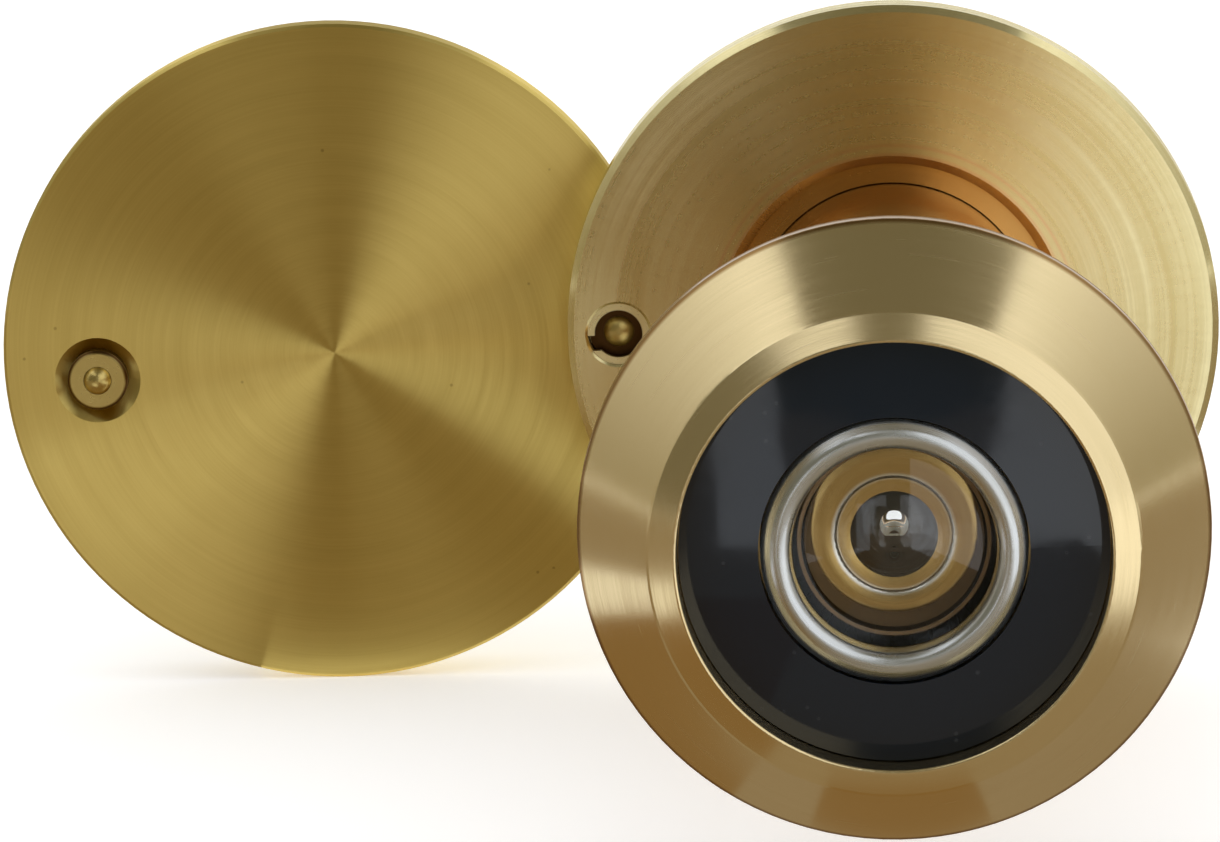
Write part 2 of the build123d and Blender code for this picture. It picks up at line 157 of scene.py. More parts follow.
# Studio: big cards at FAR from the object, as high as CURTAIN_TOP
WHITE = (1.0, 1.0, 1.0)
FLOOR_SIDE = 6.0
FAR = 1.5
CURTAIN_TOP = 1.24 * FAR
SCREEN_TOP = 0.9 * FAR
CURTAIN_TOP_COLOR = (0.95, 0.95, 0.93)
NARROW_STRIP = (-0.15, 0.15)
WIDE_STRIP = (-0.43, 0.55)
SCREEN_ANGLES = (-8, -16, -25, -35, -45, -55, -65, -75)
CARD_FOOT = CAD_BOX[0].z + 1.0 * MM
CLOTH_LIFT = 0.2 * MM
SHADE_LIFT = 0.4 * MM
PAPER_LIFT = 0.6 * MM

# Small upright cards: start and end (x, y), low and high
RING_PAPER = ((-0.0225, -0.065), (-0.0143, -0.065), -0.012, 0.016)
PLATE_PAPER = ((0.0095, 0.014), (0.032, 0.014), CARD_FOOT, 0.040)
COVER_PAPER = ((-0.0125, 0.008), (-0.0125, 0.032), CARD_FOOT, -0.001)
# Painted shade: a warm card, seen only in reflections, for the shade between flange and plate
COVER_SHADE_CARD = ((-0.0122, 0.008), (-0.0122, 0.032), CARD_FOOT, -0.001)

# Cloths and papers on the floor: four corners (x, y) for each piece
CLOTH_FRONT = -0.092
CLOTH_SLANT = 0.15
UNDER_PAPER = (
    ((-0.010, 0.012), (0.030, 0.012), (0.030, 0.046), (-0.010, 0.046)),
)
FRONT_CLOTH = (
    ((-0.6, CLOTH_FRONT), (0.03, CLOTH_FRONT), (0.03, 0.014), (-0.6, 0.014)),
    ((0.03, -0.02), (0.6, -0.02), (0.6, 0.014), (0.03, 0.014)),
    ((-FAR, -FAR), (CLOTH_SLANT * FAR, -FAR),
     (-CLOTH_SLANT * CLOTH_FRONT, CLOTH_FRONT), (-0.6, CLOTH_FRONT)),
)
SIDE_CLOTH = (
    ((0.032, 0.014), (0.6, 0.014), (0.6, 0.3), (0.047, 0.3)),
    ((-0.6, 0.014), (-0.008, 0.014), (-0.008, 0.050), (-0.6, 0.050)),
    ((-0.6, 0.050), (-0.032, 0.050), (-0.044, 0.3), (-0.6, 0.3)),
)
EDGE_PAPER = (
    ((-0.062, -0.055), (-0.040, -0.055), (-0.040, -0.017), (-0.062, -0.017)),
    ((-0.062, 0.013), (-0.040, 0.013), (-0.040, 0.035), (-0.062, 0.035)),
)
# Painted shade: a sheet seen only in reflections, for the floor in the object's own shadow
FLOOR_SHADE_SHEET = (
    ((-0.06, -0.06), (-0.010, -0.06), (-0.010, -0.008), (-0.06, -0.008)),
    ((-0.06, 0.002), (-0.010, 0.002), (-0.010, 0.050), (-0.06, 0.050)),
    ((-0.005, -0.008), (0.005, -0.008), (0.005, 0.002), (-0.005, 0.002)),
)

# Camera: its place and the directions of its right side and top
CAMERA_PLACE = (0.001522, -0.411046, 0.085620)
CAMERA_RIGHT = (0.999177, 0.02815, -0.029217)
CAMERA_UP = (0.023248, 0.19299, 0.980925)
SENSOR_WIDTH = 36.0


def middle(node):
    """Centre of a node's box, which lies on its axis of turning."""
    low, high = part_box(node)
    return (low + high) / 2


def color_property(name, default, description):
    """Linear colour with the usual limits."""
    return FloatVectorProperty(name=name, description=description, subtype="COLOR", size=3,
                               min=0.0, max=1.0, default=default)


def length_property(name, default, description):
    """Length in metres."""
    return FloatProperty(name=name, description=description, subtype="DISTANCE", unit="LENGTH",
                         min=0.0, precision=6, default=default)


def factor_property(name, default, description):
    """Share from 0 to 1."""
    return FloatProperty(name=name, description=description, subtype="FACTOR",
                         min=0.0, max=1.0, default=default)


class ViewerBrass(PropertyGroup):
    """Colours and turning marks of the brass pieces."""

    flange_color: color_property("Flange", (0.88, 0.73, 0.43), "Satin brass of the outer flange")
    bore_color: color_property("Bore", (0.80, 0.88, 0.90), "Bright bore of the outer tube")
    # Partly painted shade: the barrel's brass is its own orange tone, darkened for its place down
    # the plate's hole
    barrel_tone_and_shade_color: color_property("Barrel", (0.72, 0.44, 0.15), "Brass of sleeve and plate's hole, darker as painted shade")
    plate_color: color_property("Plate", (0.96, 0.87, 0.51), "Brass of the base plate")
    cover_color: color_property("Cover", (0.95, 0.76, 0.25), "Brass of the privacy cover")
    # Painted shade: the darker, dull back of the flange, between flange and plate
    back_shade_color: color_property("Raw", (0.42, 0.25, 0.09), "Painted shade on the back of the flange")
    hole_color: color_property("Hole edge", (0.90, 0.66, 0.36), "Raw brass round the plate's hole")
    # Painted shade in the pivot's hole and on the flange's outer edge
    recess_shade_color: color_property("Recess", (0.34, 0.20, 0.07), "Painted shade in holes and on edges")
    # Painted highlight on the spacer's step
    step_glint_color: color_property("Step glint", (0.95, 0.93, 0.86), "Painted highlight on the spacer's step")
    # Painted shade in narrow gaps and recesses
    gap_shade_color: color_property("Gap", (0.09, 0.045, 0.015), "Painted shade in narrow gaps and recesses")
    plunger_color: color_property("Plunger", (0.66, 0.52, 0.19), "Brass of plunger, ball and pin")
    fitting_color: color_property("Fittings", (0.70, 0.50, 0.20), "Brass of spacer and retainers")
    steel_color: color_property("Steel", (0.58, 0.56, 0.52), "Spring steel of washer and spring")
    flange_roughness: factor_property("Flange roughness", 0.22, "Satin of the flange")
    barrel_roughness: factor_property("Barrel roughness", 0.22, "Smooth thread, sleeve and rings")
    plate_roughness: factor_property("Plate roughness", 0.24, "Coarse turned plate")
    cover_roughness: factor_property("Cover roughness", 0.38, "Fine brushed cover")
    fine_spacing: length_property("Brush spacing", 0.00009, "Spacing of the fine brushing")
    coarse_spacing: length_property("Tool spacing", 0.00030, "Spacing of the coarse marks")
    fine_depth: length_property("Brush depth", 0.0000012, "Depth of the fine brushing")
    coarse_depth: length_property("Tool depth", 0.0000032, "Depth of the coarse marks")


class ViewerOptics(PropertyGroup):
    """Black trim ring, nickel bezel, glass and aperture stop."""

    ring_color: color_property("Trim ring", (0.004, 0.008, 0.014), "Black gloss trim ring")
    dust_color: color_property("Dust", (0.05, 0.055, 0.06), "Fine dust on the trim ring")
    ring_roughness: factor_property("Trim ring roughness", 0.05, "Gloss of the trim ring")
    bezel_color: color_property("Bezel", (0.68, 0.72, 0.76), "Nickel of the lens bezel")
    bezel_roughness: factor_property("Bezel roughness", 0.28, "Gloss of the lens bezel")
    glass_color: color_property("Glass", (0.98, 0.99, 0.99), "Tint of the lenses")
    stop_color: color_property("Aperture stop", (0.30, 0.17, 0.13), "Matt browned stop")
    rim_color: color_property("Ground rim", (0.60, 0.40, 0.20), "Matt edge of the objective")


class ViewerStudio(PropertyGroup):
    """Floor, cards, tent light and camera."""

    floor_color: color_property("Floor", (0.92, 0.92, 0.92), "Pale floor")
    grain_color: color_property("Floor grain", (0.8, 0.8, 0.8), "Faint grain of the floor")
    floor_lift: FloatProperty(name="Floor lift", min=0.0, default=0.27,
                              description="White that the floor adds to what is seen of it")
    card_color: color_property("Card", (0.165, 0.148, 0.10), "Dark cards round the metal")
    cloth_color: color_property("Cloth", (0.30, 0.24, 0.16), "Dark cloth in front of the object")
    # Painted shade of the floor round the object
    shade_color: color_property("Shade", (0.24, 0.15, 0.06), "Painted shade of the floor in the object's own shadow")
    warm_color: color_property("Warm shade", (0.17, 0.095, 0.035), "Shade between flange and plate")
    curtain_color: color_property("Curtain", (0.33, 0.29, 0.20), "Foot of the side curtains")
    world_strength: FloatProperty(name="Tent", description="Strength of the white tent light",
                                  min=0.0, default=1.0)
    lens: FloatProperty(name="Lens", description="Focal length in millimetres", min=1.0,
                        default=280.33)


SETTINGS = (
    ("viewer_brass", ViewerBrass),
    ("viewer_optics", ViewerOptics),
    ("viewer_studio", ViewerStudio),
)


# Node helpers


def feed(tree, socket, value):
    """Links an output to a socket, or sets the socket's value."""
    if isinstance(value, bpy.types.NodeSocket):
        tree.links.new(value, socket)
    elif isinstance(value, tuple) and len(value) == 3 and socket.type == "RGBA":
        socket.default_value = (*value, 1.0)
    else:
        socket.default_value = value


def put(tree, kind, inputs=(), **settings):
    """Adds a node, sets its options and feeds its inputs, given as (name or index, value)."""
    node = tree.nodes.new(kind)
    for option, value in settings.items():
        setattr(node, option, value)
    for key, value in inputs:
        feed(tree, node.inputs[key], value)
    return node


def calc(tree, operation, *values, clamp=False):
    """Output of a Math node."""
    node = put(tree, "ShaderNodeMath", enumerate(values), operation=operation, use_clamp=clamp)
    return node.outputs[0]


def combine(tree, x, y, z):
    """Vector from three values."""
    return put(tree, "ShaderNodeCombineXYZ", (("X", x), ("Y", y), ("Z", z))).outputs[0]


def noise(tree, vector, scale, detail=2.0, roughness=0.5):
    """Value of a 3D noise."""
    node = put(tree, "ShaderNodeTexNoise",
               (("Vector", vector), ("Scale", scale), ("Detail", detail), ("Roughness", roughness)))
    return node.outputs[0]


def spread(tree, value, low, high, to_low=0.0, to_high=1.0):
    """Maps low..high to to_low..to_high, held at the ends."""
    node = put(tree, "ShaderNodeMapRange",
               (("Value", value), ("From Min", low), ("From Max", high),
                ("To Min", to_low), ("To Max", to_high)))
    return node.outputs[0]


def blend_colors(tree, factor, a, b):
    """Output of a colour Mix node."""
    node = put(tree, "ShaderNodeMix", data_type="RGBA")
    feed(tree, node.inputs[0], factor)
    feed(tree, node.inputs[6], a)
    feed(tree, node.inputs[7], b)
    return node.outputs[2]


def place_on_object(tree):
    """Place of the shaded point in the object's own axes."""
    return put(tree, "ShaderNodeTexCoord").outputs["Object"]


def split(tree, vector):
    """The X, Y and Z of a vector, by name."""
    return put(tree, "ShaderNodeSeparateXYZ", ((0, vector),)).outputs


def new_group(name, inputs, outputs):
    """Empty shader node group with its sockets; returns the tree and its input and output nodes."""
    tree = bpy.data.node_groups.new(name, "ShaderNodeTree")
    for socket, kind, default in inputs:
        made = tree.interface.new_socket(socket, in_out="INPUT", socket_type=kind)
        made.default_value = default
    for socket, kind in outputs:
        tree.interface.new_socket(socket, in_out="OUTPUT", socket_type=kind)
    return tree, tree.nodes.new("NodeGroupInput"), tree.nodes.new("NodeGroupOutput")


def turning_marks_group():
    """Concentric marks of a lathe tool round an axis along Y."""
    name = "Turning Marks"
    if name in bpy.data.node_groups:
        return bpy.data.node_groups[name]
    tree, given, result = new_group(
        name,
        (("Centre", "NodeSocketVector", (0.0, 0.0, 0.0)), ("Spacing", "NodeSocketFloat", 0.0001),
         ("Break Up", "NodeSocketFloat", 2.0), ("Seed", "NodeSocketFloat", 0.0),
         ("Chatter", "NodeSocketFloat", 0.0)),
        (("Height", "NodeSocketFloat"), ("Tone", "NodeSocketFloat"), ("Radius", "NodeSocketFloat")))
    away = put(tree, "ShaderNodeVectorMath",
               ((0, place_on_object(tree)), (1, given.outputs["Centre"])),
               operation="SUBTRACT").outputs[0]
    parts = split(tree, away)
    flat = combine(tree, parts["X"], 0.0, parts["Z"])
    radius = put(tree, "ShaderNodeVectorMath", ((0, flat),), operation="LENGTH").outputs["Value"]
    turn = put(tree, "ShaderNodeVectorMath", ((0, flat),), operation="NORMALIZE").outputs[0]
    turn = split(tree, turn)

    # Lines by radius on faces and by Y on walls, broken up slowly round the axis
    along = calc(tree, "ADD", radius, parts["Y"])
    line = calc(tree, "ADD", calc(tree, "DIVIDE", along, given.outputs["Spacing"]),
                given.outputs["Seed"])
    around_x = calc(tree, "MULTIPLY", turn["X"], given.outputs["Break Up"])
    around_z = calc(tree, "MULTIPLY", turn["Z"], given.outputs["Break Up"])
    fine = noise(tree, combine(tree, line, around_x, around_z), 1.0, 2.0, 0.6)
    slow_line = calc(tree, "MULTIPLY", line, SLOW_PER_LINE)
    slow = noise(tree, combine(tree, slow_line, around_x, around_z), 1.0, 3.0, 0.55)
    height = calc(tree, "ADD", calc(tree, "MULTIPLY", fine, FINE_SHARE),
                  calc(tree, "MULTIPLY", slow, 1.0 - FINE_SHARE))

    # Chatter: short strokes across the lines
    step_x = calc(tree, "MULTIPLY", turn["X"], CHATTER_STEPS)
    step_z = calc(tree, "MULTIPLY", turn["Z"], CHATTER_STEPS)
    step_out = calc(tree, "MULTIPLY", radius, CHATTER_LINES)
    ripple = noise(tree, combine(tree, step_x, step_out, step_z), 1.0, 1.0, 0.5)
    ripple = calc(tree, "MULTIPLY", spread(tree, ripple, *CHATTER_SPAN), given.outputs["Chatter"])

    deep = calc(tree, "MULTIPLY", spread(tree, height, *HEIGHT_SPAN), LINE_TONE)
    broad = calc(tree, "MULTIPLY", spread(tree, slow, *WIDE_SPAN), 1.0 - LINE_TONE)
    lines = calc(tree, "ADD", deep, broad)
    feed(tree, result.inputs["Height"], calc(tree, "ADD", height, ripple))
    feed(tree, result.inputs["Tone"], calc(tree, "ADD", lines, ripple))
    feed(tree, result.inputs["Radius"], radius)
    return tree


def tarnish_group():
    """Soft uneven patches and small specks, as handled brass has."""
    name = "Tarnish"
    if name in bpy.data.node_groups:
        return bpy.data.node_groups[name]
    tree, given, result = new_group(
        name,
        (("Patch Size", "NodeSocketFloat", 0.006), ("Speck Size", "NodeSocketFloat", 0.0004),
         ("Speck Share", "NodeSocketFloat", 0.1)),
        (("Patches", "NodeSocketFloat"), ("Specks", "NodeSocketFloat")))
    place = place_on_object(tree)
    patch_scale = calc(tree, "DIVIDE", 1.0, given.outputs["Patch Size"])
    patches = noise(tree, place, patch_scale, 4.0, 0.6)
    speck_scale = calc(tree, "DIVIDE", 1.0, given.outputs["Speck Size"])
    cells = put(tree, "ShaderNodeTexVoronoi", (("Vector", place), ("Scale", speck_scale)))
    chance = put(tree, "ShaderNodeSeparateColor", ((0, cells.outputs["Color"]),)).outputs[0]
    chosen = calc(tree, "LESS_THAN", chance, given.outputs["Speck Share"])
    dot = spread(tree, cells.outputs["Distance"], *SPECK_SPAN, 1.0, 0.0)
    feed(tree, result.inputs["Patches"], spread(tree, patches, *PATCH_SPAN))
    feed(tree, result.inputs["Specks"], calc(tree, "MULTIPLY", chosen, dot))
    return tree


def group_node(tree, group, inputs=()):
    """Outputs of a node group that is placed and fed its inputs."""
    return put(tree, "ShaderNodeGroup", inputs, node_tree=group).outputs


def new_material(name):
    """Material with a Principled shader alone; returns it, its tree and the shader's inputs."""
    material = bpy.data.materials.new(name)
    material.use_nodes = True
    tree = material.node_tree
    tree.nodes.clear()
    shader = tree.nodes.new("ShaderNodeBsdfPrincipled")
    output = tree.nodes.new("ShaderNodeOutputMaterial")
    tree.links.new(shader.outputs[0], output.inputs["Surface"])
    return material, tree, shader.inputs


def dress(material, *nodes):
    """Gives CAD nodes one material."""
    for name in nodes:
        slots = NODES[name].data.materials
        slots.clear()
        slots.append(material)


def tinted(color, shares):
    """Colour with a share taken of each of its parts."""
    return tuple(part * share for part, share in zip(color, shares))


def ring_mask(tree, radius, low, high):
    """1 where the radius lies between low and high, with soft edges."""
    inside = spread(tree, radius, low - RING_SOFTNESS, low + RING_SOFTNESS)
    outside = spread(tree, radius, high - RING_SOFTNESS, high + RING_SOFTNESS, 1.0, 0.0)
    return calc(tree, "MULTIPLY", inside, outside)


def turned_metal(name, color, roughness, centre, spacing, depth, break_up=2.0, aniso=0.0, seed=0.0,
                 tone=0.12, tarnish=0.10, specks=0.002, chatter=0.0, rings=(), spots=(), back_shade=None):
    """Turned or brushed metal: marks round the axis in height, roughness and colour.

    rings are ((low, high), colour) by radius and spots are (centre, radius, colour), some of them
    painted shade or a painted highlight. The last argument is (Y, colour): beyond that Y the metal
    takes that darker colour as painted shade, and turns dull.
    """
    material, tree, shader = new_material(name)
    marks = group_node(tree, turning_marks_group(),
                       (("Centre", tuple(centre)), ("Spacing", spacing), ("Break Up", break_up),
                        ("Seed", seed), ("Chatter", chatter)))
    age = group_node(tree, tarnish_group(), (("Speck Share", specks),))
    color = tuple(color)
    share = calc(tree, "ADD", calc(tree, "MULTIPLY", marks["Tone"], tone),
                 calc(tree, "MULTIPLY", age["Patches"], tarnish))
    aged = blend_colors(tree, share, color, tinted(color, DEEP_TONE))
    # Painted shade: beyond the given Y the colour turns darker and the metal dull
    back_shade_share = 0.0
    if back_shade:
        start, back_shade_color = back_shade
        place = split(tree, place_on_object(tree))
        back_shade_share = spread(tree, place["Y"], start, start + BACK_SHADE_BLEND)
        aged = blend_colors(tree, back_shade_share, aged, tuple(back_shade_color))
    for reach, ring_color in rings:
        mask = ring_mask(tree, marks["Radius"], *reach)
        aged = blend_colors(tree, mask, aged, tuple(ring_color))
    for spot, reach, spot_color in spots:
        away = group_node(tree, turning_marks_group(), (("Centre", tuple(spot)),))["Radius"]
        mask = spread(tree, away, reach - SPOT_SOFTNESS, reach + SPOT_SOFTNESS, 1.0, 0.0)
        aged = blend_colors(tree, mask, aged, tuple(spot_color))
    speck = calc(tree, "MULTIPLY", age["Specks"], SPECK_STRENGTH)
    feed(tree, shader["Base Color"], blend_colors(tree, speck, aged, tinted(color, SPECK_TONE)))
    rough = spread(tree, marks["Height"], *WIDE_SPAN, max(roughness - SMOOTHER, LEAST_ROUGHNESS),
                   roughness + ROUGHER)
    feed(tree, shader["Roughness"],
         calc(tree, "MAXIMUM", rough, calc(tree, "MULTIPLY", back_shade_share, BACK_ROUGHNESS)))
    bump = put(tree, "ShaderNodeBump",
               (("Strength", 1.0), ("Distance", depth), ("Height", marks["Height"])))
    feed(tree, shader["Normal"], bump.outputs[0])
    shader["Metallic"].default_value = 1.0
    if aniso:
        shader["Anisotropic"].default_value = aniso
        shader["Anisotropic Rotation"].default_value = QUARTER_TURN
        tangent = put(tree, "ShaderNodeTangent", direction_type="RADIAL", axis="Y")
        feed(tree, shader["Tangent"], tangent.outputs[0])
    return material


def optical_glass(name, optics, ground=False):
    """Polished lens glass. A ground lens has a matt edge and a matt flat rim at its back."""
    material, tree, shader = new_material(name)
    age = group_node(tree, tarnish_group(), (("Speck Size", 0.3 * MM), ("Speck Share", 0.03)))
    rim = 0.0
    if ground:
        place = split(tree, place_on_object(tree))
        radius = group_node(tree, turning_marks_group())["Radius"]
        rim = calc(tree, "MULTIPLY", spread(tree, place["Y"], RIM_START - TINY, RIM_START),
                   spread(tree, radius, RIM_INNER - TINY, RIM_INNER))
        edge = spread(tree, radius, LENS_EDGE - TINY, LENS_EDGE - TINY / 2)
        rim = calc(tree, "MAXIMUM", rim, edge)
    feed(tree, shader["Base Color"],
         blend_colors(tree, rim, tuple(optics.glass_color), tuple(optics.rim_color)))
    feed(tree, shader["Roughness"],
         calc(tree, "MAXIMUM", calc(tree, "MULTIPLY", rim, MATT_ROUGHNESS),
              calc(tree, "MULTIPLY", age["Specks"], 0.15)))
    feed(tree, shader["Transmission Weight"], calc(tree, "SUBTRACT", 1.0, rim))
    shader["IOR"].default_value = GLASS_IOR
    return material


# Pieces that show the outer tube with its real thread


def add_object(name, mesh):
    """Object with a mesh, linked to the scene."""
    made = bpy.data.objects.new(name, mesh)
    bpy.context.scene.collection.objects.link(made)
    return made


def slim_tube(name):
    """Copy of the outer barrel whose tube is thinner, so that the thread's roots show."""
    mesh = NODES["outer_barrel"].data.copy()
    mesh.name = name
    for vertex in mesh.vertices:
        reach = math.hypot(vertex.co.x, vertex.co.z)
        on_tube = vertex.co.y > THREAD_START - TINY and abs(reach - THREAD_CREST) < TINY
        at_end = (vertex.co.y > THREAD_END - TINY
                  and abs(reach - THREAD_CREST + TUBE_CHAMFER) < TINY)
        if on_tube or at_end:
            vertex.co.x *= TUBE_UNDER_THREAD / reach
            vertex.co.z *= TUBE_UNDER_THREAD / reach
    return add_object(name, mesh)


def thread_radius(y, share):
    """Radius at Y, with share 0 on the crest and 1 at the root; the thread runs in at its start."""
    run_in = min(max((y - THREAD_START - 0.5 * THREAD_PITCH) / THREAD_PITCH, 0.0), 1.0)
    bevel = max(y - THREAD_END + TUBE_CHAMFER, 0.0)
    return THREAD_CREST - max(THREAD_DEPTH * share * run_in, bevel)


def thread_point(radius, y, column):
    """Point at a radius and Y on one of the columns round the axis."""
    turn = math.tau * column / THREAD_COLUMNS
    return radius * math.sin(turn), y, radius * math.cos(turn)


def thread_rows():
    """Rows of points from the shell's inside, over the thread, round to the inside again."""
    columns = range(THREAD_COLUMNS + 1)
    inner = THREAD_CREST - THREAD_DEPTH - THREAD_SHELL
    rows = [[thread_point(inner, THREAD_START, k) for k in columns]]
    turns = round((THREAD_END - THREAD_START) / THREAD_PITCH)
    for turn in range(-1, turns + 1):
        for part, share in THREAD_PROFILE:
            row = []
            for k in columns:
                y = THREAD_START + THREAD_PITCH * (turn + part + k / THREAD_COLUMNS)
                y = min(max(y, THREAD_START), THREAD_END)
                row.append(thread_point(thread_radius(y, share), y, k))
            rows.append(row)
    rows.append([thread_point(THREAD_CREST - TUBE_CHAMFER, THREAD_END, k) for k in columns])
    rows.append([thread_point(inner, THREAD_END, k) for k in columns])
    rows.append(rows[0])
    return rows


def cut_thread(name, material):
    """Closed shell over the tube with a right-handed thread, flat at crest and root."""
    work = bmesh.new()
    made = [[work.verts.new(place) for place in row] for row in thread_rows()]
    for low, high in zip(made, made[1:]):
        for k in range(THREAD_COLUMNS):
            work.faces.new((low[k], low[k + 1], high[k + 1], high[k]))
    bmesh.ops.remove_doubles(work, verts=work.verts, dist=MERGE_DISTANCE)
    bmesh.ops.recalc_face_normals(work, faces=work.faces)
    mesh = bpy.data.meshes.new(name)
    work.to_mesh(mesh)
    work.free()
    mesh.shade_smooth()
    mesh.set_sharp_from_angle(angle=SHARP_ANGLE)
    mesh.materials.append(material)
    return add_object(name, mesh)


class VIEWER_OT_outer_flange(Operator):
    """Satin bevelled flange, collar and threaded tube"""

    bl_idname = "viewer.outer_flange"
    bl_label = "Outer Flange"

    def execute(self, context):
        brass = context.scene.viewer_brass
        # The flange carries painted shade: a dark ring on its outer edge and a darker, dull back
        # between flange and plate
        satin = turned_metal("Satin flange brass", brass.flange_color, brass.flange_roughness,
                             AXIS_CENTRE, brass.fine_spacing, brass.fine_depth, aniso=0.35,
                             rings=((TUBE_BORE, brass.bore_color),
                                    (FLANGE_EDGE_SHADE, brass.recess_shade_color)),
                             back_shade=(BACK_SHADE_START, brass.back_shade_color))
        dress(satin, "outer_barrel")
        cut = turned_metal("Cut thread brass", brass.flange_color, brass.barrel_roughness,
                           AXIS_CENTRE, brass.fine_spacing, brass.fine_depth)
        for piece in (slim_tube("outer_barrel_body"), cut_thread("barrel_thread", cut)):
            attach(piece, "outer_half")
            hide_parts("outer_barrel")
        return {"FINISHED"}


class VIEWER_OT_trim_ring(Operator):
    """Black gloss trim ring inside the flange's lip"""

    bl_idname = "viewer.trim_ring"
    bl_label = "Trim Ring"

    def execute(self, context):
        optics = context.scene.viewer_optics
        material, tree, shader = new_material("Black gloss lacquer")
        age = group_node(tree, tarnish_group(), (("Patch Size", 2.0 * MM), ("Speck Size", 0.5 * MM),
                                                 ("Speck Share", 0.05)))
        dust = calc(tree, "MULTIPLY", age["Specks"], 0.3)
        feed(tree, shader["Base Color"],
             blend_colors(tree, dust, tuple(optics.ring_color), tuple(optics.dust_color)))
        feed(tree, shader["Roughness"],
             spread(tree, age["Patches"], 0.0, 1.0, optics.ring_roughness,
                    optics.ring_roughness + 0.05))
        shader["IOR"].default_value = LACQUER_IOR
        dress(material, "black_trim_ring")
        return {"FINISHED"}


class VIEWER_OT_lens_bezel(Operator):
    """Nickel bezel that holds the objective"""

    bl_idname = "viewer.lens_bezel"
    bl_label = "Lens Bezel"

    def execute(self, context):
        optics = context.scene.viewer_optics
        dress(turned_metal("Bezel nickel", optics.bezel_color, optics.bezel_roughness, AXIS_CENTRE,
                           NICKEL_SPACING, SLIGHT_DEPTH, tone=0.2, tarnish=0.2), "lens_bezel")
        return {"FINISHED"}


class VIEWER_OT_lens_stack(Operator):
    """Lenses, spacer, aperture stop and retainers"""

    bl_idname = "viewer.lens_stack"
    bl_label = "Lens Stack"

    def execute(self, context):
        optics = context.scene.viewer_optics
        brass = context.scene.viewer_brass
        dress(optical_glass("Optical glass", optics), "second_lens", "third_lens", "eyepiece_lens")
        dress(optical_glass("Objective glass", optics, ground=True), "objective_lens")
        # The spacer carries a painted highlight, a light ring on its step
        dress(turned_metal("Spacer brass", brass.fitting_color, brass.barrel_roughness, AXIS_CENTRE,
                           SMALL_SPACING, SMALL_DEPTH, rings=((SPACER_STEP_GLINT, brass.step_glint_color),)),
              "front_spacer")
        dress(turned_metal("Lens cell brass", brass.fitting_color, brass.barrel_roughness,
                           AXIS_CENTRE, SMALL_SPACING, SMALL_DEPTH),
              "lens_retainer", "eyepiece_retainer")
        material, tree, shader = new_material("Matt browned stop")
        feed(tree, shader["Base Color"], tuple(optics.stop_color))
        shader["Roughness"].default_value = MATT_ROUGHNESS
        dress(material, "aperture_stop")
        return {"FINISHED"}


class VIEWER_OT_inner_barrel(Operator):
    """Smooth sleeve and slotted eyepiece flange"""

    bl_idname = "viewer.inner_barrel"
    bl_label = "Inner Barrel"

    def execute(self, context):
        brass = context.scene.viewer_brass
        # The sleeve's darker orange brass is partly its own tone and partly painted shade
        dress(turned_metal("Turned barrel brass", brass.barrel_tone_and_shade_color, brass.barrel_roughness,
                           AXIS_CENTRE, SLEEVE_SPACING, SMALL_DEPTH), "inner_barrel")
        return {"FINISHED"}


class VIEWER_OT_base_plate(Operator):
    """Coarse turned base plate"""

    bl_idname = "viewer.base_plate"
    bl_label = "Base Plate"

    def execute(self, context):
        brass = context.scene.viewer_brass
        # Painted shade: a dark spot round the pivot's hole. The hole's wall takes the barrel's
        # darker brass, partly painted shade
        dress(turned_metal("Turned plate brass", brass.plate_color, brass.plate_roughness,
                           AXIS_CENTRE, brass.coarse_spacing, brass.coarse_depth, break_up=0.4,
                           aniso=0.9, tone=0.75, chatter=0.06,
                           rings=((PLATE_HOLE, brass.barrel_tone_and_shade_color),
                                  (HOLE_CHAMFER, brass.hole_color),
                                  (TOOL_LINE, brass.hole_color)),
                           spots=((middle("pivot_pin"), PIVOT_SHADE_R, brass.recess_shade_color),)),
              "base_plate")
        return {"FINISHED"}


class VIEWER_OT_pivot_fittings(Operator):
    """Pivot pin, snap ring and spring washer"""

    bl_idname = "viewer.pivot_fittings"
    bl_label = "Pivot Fittings"

    def execute(self, context):
        brass = context.scene.viewer_brass
        centre = middle("pivot_pin")
        # Painted shade: a dark ring on the pin's shoulder and one in the snap ring's bore
        dress(turned_metal("Pivot pin brass", brass.plunger_color, 0.4, centre, SMALL_SPACING,
                           SMALL_DEPTH, rings=((PIN_SHOULDER_SHADE, brass.gap_shade_color),)), "pivot_pin")
        dress(turned_metal("Snap ring brass", brass.plate_color, 0.3, centre, NICKEL_SPACING,
                           SMALL_DEPTH, seed=3.0, rings=((SNAP_RING_SHADE, brass.gap_shade_color),)),
              "pivot_snap_ring")
        dress(turned_metal("Spring steel", brass.steel_color, 0.28, centre, SMALL_SPACING,
                           SLIGHT_DEPTH), "pivot_spring_washer")
        return {"FINISHED"}


class VIEWER_OT_privacy_cover(Operator):
    """Cover with fine concentric brushing"""

    bl_idname = "viewer.privacy_cover"
    bl_label = "Privacy Cover"

    def execute(self, context):
        brass = context.scene.viewer_brass
        dress(turned_metal("Brushed cover brass", brass.cover_color, brass.cover_roughness,
                           middle("privacy_cover"), brass.fine_spacing, brass.fine_depth,
                           break_up=1.2, aniso=1.0, seed=7.0, tone=0.3), "privacy_cover")
        return {"FINISHED"}


